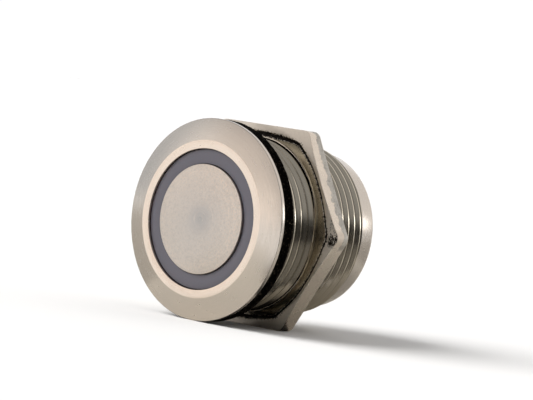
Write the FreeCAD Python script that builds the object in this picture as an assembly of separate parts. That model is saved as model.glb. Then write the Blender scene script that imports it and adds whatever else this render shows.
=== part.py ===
import FreeCAD, Part
import math
import os

# Touch dimmer switch that is fixed in a round panel hole. All sizes are in millimetres.
# The axis is Y. The touched face looks towards -Y and the solder lugs point towards +Y.
# The origin is on the axis, at the back of the bezel flange, where the face gasket starts.
# Z is up: the switch lies on its bezel rim and on one flat of its nut.

# Threaded barrel
thread_radius = 9.5
relief_depth = 0.6  # turned groove between the flange and the thread
relief_width = 1.9
collar_step = 0.8  # how far the plain end lies inside the thread
collar_length = 2.1
collar_chamfer = 0.3
barrel_wall = 2.3
bore_chamfer = 0.3

# Bezel, turned in one piece with the barrel
bezel_overhang = 1.5  # how far it reaches beyond the thread
bezel_height = 1.25  # from the back of the flange to the flat land
bevel_drop = 0.8  # how far the bevel falls back from the land to the rim
recess_wall = 1.25  # between the front recess and the relief groove
recess_depth = 2.4  # from the land to the inner web
land_width = 0.9  # flat ring between the recess and the bevel
web_thickness = 1.0
neck_clearance = 0.1  # between the light ring's neck and the web

# Face gasket
gasket_setback = 0.1  # how far its edge stays inside the bezel's
gasket_thickness = 1.4
gasket_clearance = 0.1  # between the gasket's hole and the thread

# Hexagon nut
nut_wall = 1.45  # between the bore and a flat
nut_thickness = 2.0
nut_place = 6.9  # from the back of the flange to the nut's front face
nut_running_clearance = 0.05  # radial, between the thread and the nut's bore
nut_corner_round = 1.0
nut_chamfer_setback = 0.4  # from a flat to the circle where the front chamfer starts
nut_chamfer_angle = 12.0  # degrees

# Light ring, a moulded cup that carries the touch plate
ring_width = 1.54  # the part that shows
ring_sink = 0.3  # how far its face lies behind the land
ring_gap = 0.08  # round its outside and round the touch plate
seal_space = 1.05  # between the neck and the wall of the recess
ring_floor = 0.8
skirt_wall = 1.6
boss_wall = 0.85
stem_clearance = 0.1
seal_clearance = 0.025

# Touch plate and its stem
plate_thickness = 1.0
plate_sink = 0.03  # how far its face lies behind the land
plate_edge = 0.05
stem_radius = 1.25
stem_end_length = 0.65  # beyond the stem nut

# Clear guide and stem nut that clamp the cup to the web
guide_thickness = 0.9
guide_rim = 0.75  # wall of the rim that keeps the led board off the guide
stem_nut_across_flats = 5.0
stem_nut_thickness = 1.2
stem_nut_clearance = 0.03
stem_nut_corner_round = 0.15

# Boards, which stand off each other on the header's strips
bore_clearance = 0.05  # between the bore and what slides into it
board_clearance = 0.1
board_thickness = 0.8
power_board_thickness = 1.0
front_space = 2.4
rear_space = 4.0
led_board_hole = 3.2

# Light-emitting diodes and their resistors
led_count = 8
led_inset = 1.5  # from the edge of the board
led_length = 1.6
led_width = 0.8
led_height = 0.6
led_lens_inset = 0.25
led_lens_height = 0.2
led_clearance = 0.2  # between a lens and the guide
led_resistor_length = 1.0
led_resistor_width = 0.5
led_resistor_height = 0.35

# Contact spring, a bent strip
contact_base = 1.3  # half the length of its foot
contact_tip = 0.7  # half the length of the part that touches the stem
contact_width = 1.2
contact_thickness = 0.15
contact_riser = 0.2

# Header between the boards
header_pin_count = 4
header_pitch = 1.27
header_pin_width = 0.4
header_inset = 2.8  # from the edge of the board
header_body_width = 1.3
header_pin_reach = 0.3  # in front of the led board
header_pin_short = 0.1  # how far the pins stop inside the power board
pin_clearance = 0.05

# Small parts on the boards: places are x and z from the axis
touch_chip_place = (-3.9, 0.9)
touch_chip_body = (1.7, 2.9)
touch_chip_height = 1.1
touch_chip_span = 2.8
touch_chip_lead_count = 3
touch_chip_pitch = 0.95
microcontroller_place = (3.7, 0.9)
microcontroller_side = 3.0
microcontroller_height = 0.9
capacitor_size = (1.6, 0.8, 0.8)
capacitor_places = [(-3.9, -1.9), (3.7, -1.7), (0.0, 3.4)]
transistor_place = (0.0, 0.0)
transistor_body = (4.4, 3.0)
transistor_height = 1.1
transistor_span = 6.2
transistor_lead_count = 4
transistor_pitch = 0.7
regulator_place = (0.0, 4.3)
regulator_body = (1.4, 2.9)
regulator_height = 1.1
regulator_span = 2.4
regulator_lead_count = 2
regulator_pitch = 1.9
diode_place = (-4.7, 0.0)
diode_body = (2.7, 1.6)
diode_height = 1.2
diode_span = 3.6
diode_lead_count = 1
store_capacitor_size = (2.5, 3.2, 2.0)
store_capacitor_place = (4.8, 0.0)
resistor_size = (1.6, 0.8, 0.45)
resistor_places = [(-4.3, 3.1), (4.3, 3.1), (4.3, -3.1)]
lead_width = 0.35
lead_thickness = 0.15
chip_standoff = 0.1
chip_chamfer = 0.12

# Rear plug, its seal and the clip that keeps it in
plug_length = 3.1
plug_pocket_wall = 1.75
plug_pocket_depth = 0.6
plug_groove_depth = 0.8
plug_groove_width = 1.1
hub_setback = 2.0  # from the bore
hub_proud = 0.6  # beyond the end of the barrel
hub_chamfer = 0.3
rib_thickness = 0.8
rib_setback = 0.6  # from the edge of the hub
rib_height = 2.0
clip_thickness = 0.8
clip_groove_depth = 0.45
clip_groove_clearance = 0.02
clip_band = 1.0  # radial width of the clip's band
clip_gap_angle = 56.0  # degrees
clip_ear_radius = 0.8
barrel_end_lip = 1.05  # between the clip groove and the end of the barrel

# Solder lugs
lug_width = 2.0
lug_thickness = 0.5
lug_tail_width = 0.9
lug_tail_reach = 0.4  # through the power board
lug_length = 3.9  # beyond the hub
lug_tip_chamfer = 0.45
lug_eye_radius = 0.45
lug_eye_place = 1.2  # from the tip
lug_place_x = 2.1
lug_place_z = 2.1
lug_clearance = 0.04

# Radii that follow from the sizes
bezel_radius = thread_radius + bezel_overhang
relief_radius = thread_radius - relief_depth
collar_radius = thread_radius - collar_step
bore_radius = thread_radius - barrel_wall
recess_radius = relief_radius - recess_wall
land_radius = recess_radius + land_width
gasket_radius = bezel_radius - gasket_setback
gasket_hole_radius = thread_radius + gasket_clearance
nut_bore_radius = thread_radius + nut_running_clearance
nut_across_flats = 2 * (nut_bore_radius + nut_wall)
nut_chamfer_circle = nut_across_flats / 2 - nut_chamfer_setback
ring_radius = recess_radius - ring_gap
ring_pocket_radius = ring_radius - ring_width
plate_radius = ring_pocket_radius - ring_gap
ring_neck_radius = recess_radius - seal_space
ring_skirt_radius = ring_neck_radius - skirt_wall
web_radius = ring_neck_radius + neck_clearance
stem_hole_radius = stem_radius + stem_clearance
ring_boss_radius = stem_hole_radius + boss_wall
front_seal_outer = recess_radius - seal_clearance
front_seal_inner = ring_neck_radius + seal_clearance
plug_radius = bore_radius - bore_clearance
board_radius = bore_radius - board_clearance
led_circle = board_radius - led_inset
header_place_z = header_inset - board_radius
plug_pocket_radius = plug_radius - plug_pocket_wall
plug_groove_radius = plug_radius - plug_groove_depth
rear_seal_outer = bore_radius - seal_clearance
rear_seal_inner = plug_groove_radius + seal_clearance
hub_radius = bore_radius - hub_setback
rib_radius = hub_radius - rib_setback
clip_groove_radius = bore_radius + clip_groove_depth
lug_places = [(sx * lug_place_x, sz * lug_place_z) for sz in (1, -1) for sx in (-1, 1)]

# Places along the axis that follow from the sizes
land_y = -bezel_height
rim_y = land_y + bevel_drop
relief_ramp_y = relief_width - relief_depth
thread_start_y = relief_width
web_front_y = land_y + recess_depth
web_back_y = web_front_y + web_thickness
plate_face_y = land_y + plate_sink
plate_back_y = plate_face_y + plate_thickness
ring_face_y = land_y + ring_sink
ring_step_y = web_front_y - seal_space
guide_back_y = web_back_y + guide_thickness
stem_nut_back_y = guide_back_y + stem_nut_thickness
stem_end_y = stem_nut_back_y + stem_end_length
led_board_front_y = guide_back_y + led_height + led_clearance
led_board_back_y = led_board_front_y + board_thickness
control_board_front_y = led_board_back_y + front_space
control_board_back_y = control_board_front_y + board_thickness
power_board_front_y = control_board_back_y + rear_space
plug_front_y = power_board_front_y + power_board_thickness
plug_pocket_y = plug_front_y + plug_pocket_depth
clip_front_y = plug_front_y + plug_length
clip_back_y = clip_front_y + clip_thickness
barrel_end_y = clip_back_y + barrel_end_lip
collar_start_y = barrel_end_y - collar_length
thread_end_y = collar_start_y - collar_step
hub_end_y = barrel_end_y + hub_proud
rib_end_y = hub_end_y + rib_height
lug_end_y = hub_end_y + lug_length

V = FreeCAD.Vector
origin = V(0, 0, 0)
axis = V(0, 1, 0)


def revolved(profile):
    """A closed outline of (radius, y) points turned once about the axis."""
    points = [V(r, y, 0) for r, y in profile]
    return Part.Face(Part.makePolygon(points + points[:1])).revolve(origin, axis, 360)


def rod(radius, y_from, y_to, x=0.0, z=0.0):
    """A round bar that runs along the axis."""
    return Part.makeCylinder(radius, y_to - y_from, V(x, y_from, z), axis)


def tube(outer, inner, y_from, y_to):
    """A ring with square edges."""
    return revolved([(inner, y_from), (outer, y_from), (outer, y_to), (inner, y_to)])


def block(size_x, size_z, y_from, y_to, x=0.0, z=0.0):
    """A bar of rectangular section, centred on x and z."""
    corner = V(x - size_x / 2, y_from, z - size_z / 2)
    return Part.makeBox(size_x, y_to - y_from, size_z, corner)


def hexagon(across_flats, y_from, y_to, corner_round):
    """A hexagonal prism along the axis, with a flat below and a flat above."""
    corner = across_flats / 2 / math.cos(math.pi / 6)
    angles = [math.radians(60 * side) for side in range(6)]
    points = [V(corner * math.cos(a), y_from, corner * math.sin(a)) for a in angles]
    prism = Part.Face(Part.makePolygon(points + points[:1])).extrude(V(0, y_to - y_from, 0))
    upright = [e for e in prism.Edges if abs(e.tangentAt(e.FirstParameter).y) > 0.99]
    return prism.makeFillet(corner_round, upright)


def housing():
    """Bezel and threaded barrel, turned from one bar. The thread is left as its plain major cylinder."""
    groove_front_y = clip_front_y - clip_groove_clearance
    groove_back_y = clip_back_y + clip_groove_clearance
    return revolved([
        (recess_radius, land_y),
        (land_radius, land_y),
        (bezel_radius, rim_y),
        (bezel_radius, 0),
        (relief_radius, 0),
        (relief_radius, relief_ramp_y),
        (thread_radius, thread_start_y),
        (thread_radius, thread_end_y),
        (collar_radius, collar_start_y),
        (collar_radius, barrel_end_y - collar_chamfer),
        (collar_radius - collar_chamfer, barrel_end_y),
        (bore_radius + bore_chamfer, barrel_end_y),
        (bore_radius, barrel_end_y - bore_chamfer),
        (bore_radius, groove_back_y),
        (clip_groove_radius, groove_back_y),
        (clip_groove_radius, groove_front_y),
        (bore_radius, groove_front_y),
        (bore_radius, web_back_y),
        (web_radius, web_back_y),
        (web_radius, web_front_y),
        (recess_radius, web_front_y),
    ])


def face_gasket():
    """Foam ring between the flange and the panel."""
    return tube(gasket_radius, gasket_hole_radius, 0, gasket_thickness)


def hex_nut():
    """Thin nut. A shallow chamfer cuts the front of its corners, and its back is flat to the edges."""
    back_y = nut_place + nut_thickness
    nut = hexagon(nut_across_flats, nut_place, back_y, nut_corner_round)
    reach = nut_across_flats
    fall = (reach - nut_chamfer_circle) * math.tan(math.radians(nut_chamfer_angle))
    behind_chamfer = revolved([
        (0, nut_place),
        (nut_chamfer_circle, nut_place),
        (reach, nut_place + fall),
        (reach, nut_place + fall + reach),
        (0, nut_place + fall + reach),
    ])
    return nut.common(behind_chamfer).cut(rod(nut_bore_radius, nut_place, back_y))


def touch_plate():
    """Turned disc, with the stem that holds it and leads its touch to the contact spring."""
    return revolved([
        (0, plate_face_y),
        (plate_radius - plate_edge, plate_face_y),
        (plate_radius, plate_face_y + plate_edge),
        (plate_radius, plate_back_y),
        (stem_radius, plate_back_y),
        (stem_radius, stem_end_y),
        (0, stem_end_y),
    ])


def light_ring():
    """Moulded cup: its rim shows as the ring, its floor carries the plate, its neck goes through the web."""
    floor_back_y = plate_back_y + ring_floor
    return revolved([
        (ring_pocket_radius, ring_face_y),
        (ring_radius, ring_face_y),
        (ring_radius, ring_step_y),
        (ring_neck_radius, ring_step_y),
        (ring_neck_radius, web_back_y),
        (ring_skirt_radius, web_back_y),
        (ring_skirt_radius, floor_back_y),
        (ring_boss_radius, floor_back_y),
        (ring_boss_radius, web_back_y),
        (stem_hole_radius, web_back_y),
        (stem_hole_radius, plate_back_y),
        (ring_pocket_radius, plate_back_y),
    ])


def front_seal():
    """Square-cut rubber seal round the cup's neck, between its step and the web."""
    return tube(front_seal_outer, front_seal_inner, ring_step_y, web_front_y)


def light_guide():
    """Clear disc behind the web, which spreads the light into the cup's skirt. Its rim carries the led board."""
    return revolved([
        (stem_hole_radius, web_back_y),
        (plug_radius, web_back_y),
        (plug_radius, led_board_front_y),
        (plug_radius - guide_rim, led_board_front_y),
        (plug_radius - guide_rim, guide_back_y),
        (stem_hole_radius, guide_back_y),
    ])


def stem_nut():
    """Small nut that pulls the plate, the cup and the guide together."""
    nut = hexagon(stem_nut_across_flats, guide_back_y, stem_nut_back_y, stem_nut_corner_round)
    return nut.cut(rod(stem_radius + stem_nut_clearance, guide_back_y, stem_nut_back_y))


def header_places():
    """Where the header's pins cross each board."""
    middle = (header_pin_count - 1) / 2
    return [((i - middle) * header_pitch, header_place_z) for i in range(header_pin_count)]


def drilled(board, y_from, y_to):
    """The board with the header's pin holes."""
    side = header_pin_width + 2 * pin_clearance
    for x, z in header_places():
        board = board.cut(block(side, side, y_from, y_to, x, z))
    return board


def led_board():
    """Ring-shaped board round the stem nut."""
    board = tube(board_radius, led_board_hole, led_board_front_y, led_board_back_y)
    return drilled(board, led_board_front_y, led_board_back_y)


def control_board():
    """Round board that carries the sensing parts, with the spring's pad in its middle."""
    board = rod(board_radius, control_board_front_y, control_board_back_y)
    return drilled(board, control_board_front_y, control_board_back_y)


def power_board():
    """Round board that carries the switching parts and takes the lugs' tails."""
    board = rod(board_radius, power_board_front_y, plug_front_y)
    board = drilled(board, power_board_front_y, plug_front_y)
    width = lug_tail_width + 2 * lug_clearance
    depth = lug_thickness + 2 * lug_clearance
    for x, z in lug_places:
        board = board.cut(block(width, depth, power_board_front_y, plug_front_y, x, z))
    return board


def round_the_axis(piece, count, first_angle):
    """Copies of a piece at even steps about the axis."""
    copies = []
    for i in range(count):
        copy = piece.copy()
        copy.rotate(origin, axis, first_angle + i * 360 / count)
        copies.append(copy)
    return copies


def ring_leds():
    """Lamps on the front of the led board, each a body with a lens on it."""
    lens_y = led_board_front_y - led_height
    body_y = lens_y + led_lens_height
    body = block(led_width, led_length, body_y, led_board_front_y, led_circle)
    lens = block(led_width - led_lens_inset, led_length - 2 * led_lens_inset, lens_y, body_y, led_circle)
    return Part.makeCompound(round_the_axis(body.fuse(lens).removeSplitter(), led_count, 180 / led_count))


def led_resistors():
    """One resistor for each lamp, behind the led board and between the lamps."""
    back_y = led_board_back_y + led_resistor_height
    chip = block(led_resistor_width, led_resistor_length, led_board_back_y, back_y, led_circle)
    return Part.makeCompound(round_the_axis(chip, led_count, 0))


def contact_spring():
    """Bent strip with its foot on the control board, which presses on the end of the stem."""
    board_y = control_board_front_y
    outline = [
        (-contact_base, board_y),
        (contact_base, board_y),
        (contact_tip, stem_end_y),
        (-contact_tip, stem_end_y),
        (-contact_tip, stem_end_y + contact_thickness),
        (contact_tip - contact_riser, stem_end_y + contact_thickness),
        (contact_base - contact_riser, board_y - contact_thickness),
        (-contact_base, board_y - contact_thickness),
    ]
    points = [V(x, y, -contact_width / 2) for x, y in outline]
    return Part.Face(Part.makePolygon(points + points[:1])).extrude(V(0, 0, contact_width))


def header_body(y_from, y_to):
    """Moulded strip that holds the header's pins between two boards."""
    length = header_pin_count * header_pitch
    strip = block(length, header_body_width, y_from, y_to, 0, header_place_z)
    return drilled(strip, y_from, y_to)


def header_pins():
    """Square pins that join the three boards."""
    front_y = led_board_front_y - header_pin_reach
    back_y = plug_front_y - header_pin_short
    side = header_pin_width
    return Part.makeCompound([block(side, side, front_y, back_y, x, z) for x, z in header_places()])


def bent_lead(body_half, span_half, height):
    """Outline of one lead that leaves the body, drops to the board and turns outwards."""
    half = lead_thickness / 2
    middle = -height / 2
    knee = (body_half + span_half) / 2
    outline = [
        (0, middle - half),
        (knee + half, middle - half),
        (knee + half, -lead_thickness),
        (span_half, -lead_thickness),
        (span_half, 0),
        (knee - half, 0),
        (knee - half, middle + half),
        (0, middle + half),
    ]
    return [V(x, y, -lead_width / 2) for x, y in outline]


def chip(body, height, span, lead_count, pitch, place, board_y, turn=0):
    """A moulded package in front of a board, with bent leads on two sides. Turned by 90, they are above and below."""
    size_x, size_z = body
    package = block(size_x, size_z, -height, -chip_standoff)
    package = package.makeChamfer(chip_chamfer, [e for e in package.Edges if e.BoundBox.YMax < 1e-6 - height])
    outline = bent_lead(size_x / 2, span / 2, height)
    lead = Part.Face(Part.makePolygon(outline + outline[:1])).extrude(V(0, 0, lead_width))
    middle = (lead_count - 1) / 2
    for i in range(lead_count):
        for side in (0, 180):
            one = lead.copy()
            one.rotate(origin, axis, side)
            one.translate(V(0, 0, (i - middle) * pitch))
            package = package.fuse(one)
    package = package.removeSplitter()
    package.rotate(origin, axis, turn)
    package.translate(V(place[0], board_y, place[1]))
    return package


def touch_chip():
    """Sensing chip in front of the control board."""
    return chip(touch_chip_body, touch_chip_height, touch_chip_span, touch_chip_lead_count, touch_chip_pitch,
                touch_chip_place, control_board_front_y)


def microcontroller():
    """Leadless chip in front of the control board."""
    x, z = microcontroller_place
    side = microcontroller_side
    front_y = control_board_front_y - microcontroller_height
    package = block(side, side, front_y, control_board_front_y, x, z)
    return package.makeChamfer(chip_chamfer, [e for e in package.Edges if e.BoundBox.YMax < front_y + 1e-6])


def loose_chips(size, places, board_y):
    """Identical two-ended chips in front of a board."""
    size_x, size_z, height = size
    return Part.makeCompound([block(size_x, size_z, board_y - height, board_y, x, z) for x, z in places])


def switching_transistor():
    """Power switch of the lamp circuit, in front of the power board."""
    return chip(transistor_body, transistor_height, transistor_span, transistor_lead_count, transistor_pitch,
                transistor_place, power_board_front_y)


def voltage_regulator():
    """Supply of the control board, in front of the power board."""
    return chip(regulator_body, regulator_height, regulator_span, regulator_lead_count, regulator_pitch,
                regulator_place, power_board_front_y)


def reverse_diode():
    """Diode that guards the supply against crossed poles."""
    return chip(diode_body, diode_height, diode_span, diode_lead_count, diode_span,
                diode_place, power_board_front_y, 90)


def rear_plug():
    """Moulded plug: seal groove, pocket for the solder joints, hub and the cross rib between the lugs."""
    groove_y = (plug_front_y + clip_front_y) / 2
    groove_front_y = groove_y - plug_groove_width / 2
    groove_back_y = groove_y + plug_groove_width / 2
    plug = revolved([
        (0, plug_pocket_y),
        (plug_pocket_radius, plug_pocket_y),
        (plug_pocket_radius, plug_front_y),
        (plug_radius, plug_front_y),
        (plug_radius, groove_front_y),
        (plug_groove_radius, groove_front_y),
        (plug_groove_radius, groove_back_y),
        (plug_radius, groove_back_y),
        (plug_radius, clip_front_y),
        (hub_radius, clip_front_y),
        (hub_radius, hub_end_y - hub_chamfer),
        (hub_radius - hub_chamfer, hub_end_y),
        (0, hub_end_y),
    ])
    plug = plug.fuse(block(2 * rib_radius, rib_thickness, hub_end_y, rib_end_y))
    plug = plug.fuse(block(rib_thickness, 2 * rib_radius, hub_end_y, rib_end_y)).removeSplitter()
    width = lug_width + 2 * lug_clearance
    depth = lug_thickness + 2 * lug_clearance
    for x, z in lug_places:
        plug = plug.cut(block(width, depth, plug_pocket_y, hub_end_y, x, z))
    return plug


def rear_seal():
    """Square-cut rubber seal in the plug's groove."""
    middle = (plug_front_y + clip_front_y) / 2
    half = plug_groove_width / 2 - seal_clearance
    return tube(rear_seal_outer, rear_seal_inner, middle - half, middle + half)


def retaining_clip():
    """Spring clip in the barrel's groove, open at the top, with an ear at each end."""
    outer = clip_groove_radius - clip_groove_clearance
    inner = outer - clip_band
    clip = tube(outer, inner, clip_front_y, clip_back_y)
    half = math.radians(clip_gap_angle / 2)
    reach = 2 * outer
    gap = [V(0, clip_front_y, 0)]
    gap.append(V(-reach * math.sin(half), clip_front_y, reach * math.cos(half)))
    gap.append(V(reach * math.sin(half), clip_front_y, reach * math.cos(half)))
    wedge = Part.Face(Part.makePolygon(gap + gap[:1])).extrude(V(0, clip_thickness, 0))
    clip = clip.cut(wedge)
    ear_circle = hub_radius + (bore_radius - hub_radius) / 2
    for side in (-1, 1):
        x = side * ear_circle * math.sin(half)
        z = ear_circle * math.cos(half)
        clip = clip.fuse(rod(clip_ear_radius, clip_front_y, clip_back_y, x, z)).removeSplitter()
    return clip


def solder_lug(x, z):
    """Flat lug with a wire eye outside and a narrow tail through the power board."""
    half = lug_width / 2
    tail = lug_tail_width / 2
    tip = half - lug_tip_chamfer
    outline = [
        (-tail, power_board_front_y - lug_tail_reach),
        (tail, power_board_front_y - lug_tail_reach),
        (tail, plug_pocket_y),
        (half, plug_pocket_y),
        (half, lug_end_y - lug_tip_chamfer),
        (tip, lug_end_y),
        (-tip, lug_end_y),
        (-half, lug_end_y - lug_tip_chamfer),
        (-half, plug_pocket_y),
        (-tail, plug_pocket_y),
    ]
    points = [V(x + u, y, z - lug_thickness / 2) for u, y in outline]
    lug = Part.Face(Part.makePolygon(points + points[:1])).extrude(V(0, 0, lug_thickness))
    eye_start = V(x, lug_end_y - lug_eye_place, z - lug_thickness / 2)
    return lug.cut(Part.makeCylinder(lug_eye_radius, lug_thickness, eye_start, V(0, 0, 1)))


def build():
    """Every piece of the switch, by its node's name."""
    pieces = {
        "housing": housing(),
        "face_gasket": face_gasket(),
        "hex_nut": hex_nut(),
        "touch_plate": touch_plate(),
        "light_ring": light_ring(),
        "front_seal": front_seal(),
        "light_guide": light_guide(),
        "stem_nut": stem_nut(),
        "led_board": led_board(),
        "ring_leds": ring_leds(),
        "led_resistors": led_resistors(),
        "contact_spring": contact_spring(),
        "control_board": control_board(),
        "touch_chip": touch_chip(),
        "microcontroller": microcontroller(),
        "chip_capacitors": loose_chips(capacitor_size, capacitor_places, control_board_front_y),
        "header_pins": header_pins(),
        "front_header_strip": header_body(led_board_back_y, control_board_front_y),
        "rear_header_strip": header_body(control_board_back_y, power_board_front_y),
        "power_board": power_board(),
        "switching_transistor": switching_transistor(),
        "voltage_regulator": voltage_regulator(),
        "reverse_diode": reverse_diode(),
        "store_capacitor": loose_chips(store_capacitor_size, [store_capacitor_place], power_board_front_y),
        "chip_resistors": loose_chips(resistor_size, resistor_places, power_board_front_y),
        "rear_plug": rear_plug(),
        "rear_seal": rear_seal(),
        "retaining_clip": retaining_clip(),
    }
    for number, (x, z) in enumerate(lug_places, 1):
        pieces[f"solder_lug_{number}"] = solder_lug(x, z)
    return pieces


os.makedirs("parts", exist_ok=True)
for name, piece in build().items():
    piece.exportStep(f"parts/{name}.step")
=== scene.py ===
# %% [markdown]
# # A touch dimmer switch, dressed around its CAD model
# The real object is a round metal switch for a 19 mm panel hole. A bezel and a threaded barrel are turned
# from one bar. A dark light ring and a turned touch plate sit in the front, a foam gasket lies behind the
# flange, and a thin hexagon nut is screwed half way along the barrel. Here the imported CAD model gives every
# size, and each visible surface gets a mesh with rounded edges and a procedural material.

# %% Load the frame
import math

import bmesh
import bpy
from mathutils import Matrix, Vector, noise


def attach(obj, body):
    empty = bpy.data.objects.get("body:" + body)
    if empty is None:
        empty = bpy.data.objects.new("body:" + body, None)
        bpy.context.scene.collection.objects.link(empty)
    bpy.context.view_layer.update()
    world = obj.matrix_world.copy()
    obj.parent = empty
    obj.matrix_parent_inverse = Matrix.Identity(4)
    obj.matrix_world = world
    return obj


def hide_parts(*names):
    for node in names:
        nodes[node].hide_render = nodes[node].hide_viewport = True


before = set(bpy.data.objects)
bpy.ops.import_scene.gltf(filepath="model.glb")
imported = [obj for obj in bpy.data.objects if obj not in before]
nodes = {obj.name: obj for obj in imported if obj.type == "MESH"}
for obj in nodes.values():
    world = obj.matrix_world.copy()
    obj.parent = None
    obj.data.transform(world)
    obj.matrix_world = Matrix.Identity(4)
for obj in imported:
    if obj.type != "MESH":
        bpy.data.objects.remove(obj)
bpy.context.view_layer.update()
print("CAD nodes:", len(nodes))

# %% [markdown]
# ## Small helpers
# All sizes below are in millimetres, as a workshop drawing gives them, and `MM` turns them into metres when
# a mesh is made. Blender could also be set to millimetres, but then every other number would be out of step
# with the frame.

# %% Units, and what every piece needs
MM = 0.001
TAU = 2 * math.pi


def add_object(name, mesh):
    """A mesh object at the origin, unturned and unscaled."""
    piece = bpy.data.objects.new(name, mesh)
    bpy.context.scene.collection.objects.link(piece)
    return piece


def finished(work, name, sharp_degrees):
    """An object from a bmesh, shaded smooth. Edges that turn by more than the angle stay crisp."""
    mesh = bpy.data.meshes.new(name)
    work.to_mesh(mesh)
    work.free()
    mesh.shade_smooth()
    mesh.set_sharp_from_angle(angle=math.radians(sharp_degrees))
    return add_object(name, mesh)


def count(piece):
    """Triangles of a mesh."""
    return sum(len(face.vertices) - 2 for face in piece.data.polygons)


def held(value, low=0.0, high=1.0):
    """The value, kept between low and high."""
    return min(max(value, low), high)


# %% [markdown]
# ## Rounded outlines
# No real edge is perfectly sharp. A bevel modifier could round the edges after the mesh is made, but on a
# turned piece it is cleaner to round the corners of the outline first: each corner of radius r becomes a
# short arc, and the turning then makes a smooth rounded edge from it.

# %% Round the corners of an outline
def rounded(outline, steps=4):
    """Outline of (radius, y) points from corners given as (radius, y, rounding)."""
    points = []
    total = len(outline)
    for i, (r, y, rounding) in enumerate(outline):
        here = Vector((r, y))
        if rounding == 0:
            points.append(here)
            continue
        before = (Vector(outline[i - 1][:2]) - here).normalized()
        after = (Vector(outline[(i + 1) % total][:2]) - here).normalized()
        half = before.angle(after) / 2
        reach = rounding / math.tan(half)
        centre = here + (before + after).normalized() * (rounding / math.sin(half))
        start = here + before * reach - centre
        end = here + after * reach - centre
        turn = start.angle_signed(end)
        for k in range(steps + 1):
            spun = start.copy()
            spun.rotate(Matrix.Rotation(-turn * k / steps, 2))
            points.append(centre + spun)
    return points


# %% [markdown]
# ## Turned pieces
# The bezel, the touch plate, the light ring and the gasket are all turned or moulded round. The Spin tool or
# a Screw modifier would make them, but a short function gives full control: it sweeps the outline about the
# Y axis, closes the poles with fans, and writes a UV map whose U runs round the piece and whose V runs along
# the outline. The grain of turned metal later follows that map.

# %% Turn an outline into a closed mesh
def turned(name, outline, segments):
    """A closed turned mesh. Points with radius 0 become poles."""
    work = bmesh.new()
    rings = []
    for r, y in outline:
        if r < 1e-6:
            rings.append([work.verts.new((0, y * MM, 0))])
            continue
        angles = [TAU * k / segments for k in range(segments)]
        rings.append([work.verts.new((r * math.sin(a) * MM, y * MM, r * math.cos(a) * MM)) for a in angles])
    uv = work.loops.layers.uv.new("turning")
    lengths = [0.0]
    for first, second in zip(outline, outline[1:] + outline[:1]):
        lengths.append(lengths[-1] + math.dist(first, second))
    for i, ring in enumerate(rings):
        after = rings[(i + 1) % len(rings)]
        if len(ring) == 1 and len(after) == 1:
            continue
        for k in range(segments):
            n = (k + 1) % segments
            u, v = k / segments, (k + 1) / segments
            low, high = lengths[i], lengths[i + 1]
            corners = [(ring, k, u, low), (ring, n, v, low), (after, n, v, high), (after, k, u, high)]
            if len(ring) == 1:
                corners = [(ring, 0, u, low), corners[2], corners[3]]
            elif len(after) == 1:
                corners = [corners[0], corners[1], (after, 0, u, high)]
            face = work.faces.new([r[j] for r, j, _, _ in corners])
            for loop, (_, _, s, t) in zip(face.loops, corners):
                loop[uv].uv = (s, t)
    bmesh.ops.recalc_face_normals(work, faces=work.faces)
    return finished(work, name, sharp_degrees=28)


# %% [markdown]
# ## The turned housing
# Bezel and barrel are one bar of metal, so they are one mesh: the flat land round the ring, the bevel that
# falls back to the rim, the flange, the relief groove, the plain collar at the rear, and the stepped bore.
# The thread is a piece of its own, so the barrel is a little thinner under it.

# %% Outline of the housing
LAND_Y = -1.25
LAND_RADIUS = 8.55
RIM_Y = -0.45
BEZEL_RADIUS = 11.0
THREAD_START = 1.3
THREAD_END = 15.7
BARREL_END = 17.8
RELIEF = 8.9
COLLAR = 8.7
CORE = 8.6

housing_outline = rounded([
    (7.65, 1.15, 0),
    (7.65, LAND_Y, 0.04),
    (LAND_RADIUS, LAND_Y, 0.05),
    (BEZEL_RADIUS, RIM_Y, 0.07),
    (BEZEL_RADIUS, 0, 0.03),
    (RELIEF, 0, 0),
    (RELIEF, THREAD_START, 0),
    (CORE, THREAD_START, 0),
    (CORE, THREAD_END, 0),
    (COLLAR, THREAD_END, 0),
    (COLLAR, BARREL_END, 0.3),
    (7.5, BARREL_END, 0.05),
    (7.2, 17.5, 0),
    (7.2, 16.77, 0),
    (7.65, 16.77, 0),
    (7.65, 15.93, 0),
    (7.2, 15.93, 0),
    (7.2, 2.15, 0),
    (6.7, 2.15, 0),
    (6.7, 1.15, 0),
])
bezel_and_barrel = turned("bezel_and_barrel", housing_outline, segments=288)
print("bezel_and_barrel triangles:", count(bezel_and_barrel))

# %% [markdown]
# ## The thread
# A fine thread of 1 mm pitch runs the length of the barrel, and the nut has the same thread inside. A
# boolean with a helical cutter is slow and fragile. A helical grid is simple and exact: its columns stand
# round the axis and its rows follow the helix, so crests and roots are clean lines. Geometry Nodes build it,
# with named inputs, so one tree makes the outer thread and the inner one. Rows beyond either end are clamped
# onto the end, where Merge by Distance joins them, and two more rows close the tube inside.

# %% Small tools for node trees
def connect(tree, node, slot, value):
    """Feed a node's input with a number, a vector or another node's output."""
    if isinstance(value, bpy.types.NodeSocket):
        tree.links.new(value, node.inputs[slot])
    else:
        node.inputs[slot].default_value = value


def feed(tree, node, **inputs):
    """Feed a node's inputs by name, with an underscore for each space."""
    for label, value in inputs.items():
        connect(tree, node, label.replace("_", " "), value)


def make(tree, kind, **inputs):
    """A new node with its inputs fed."""
    node = tree.nodes.new(kind)
    feed(tree, node, **inputs)
    return node


def calc(tree, operation, *values, kind="ShaderNodeMath"):
    """One Math node, or a node of another kind that has an operation."""
    node = tree.nodes.new(kind)
    node.operation = operation
    for slot, value in enumerate(values):
        connect(tree, node, slot, value)
    return node.outputs[0]


def times(tree, product, *others):
    """The product of numbers and masks."""
    for other in others:
        product = calc(tree, "MULTIPLY", product, other)
    return product


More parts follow.
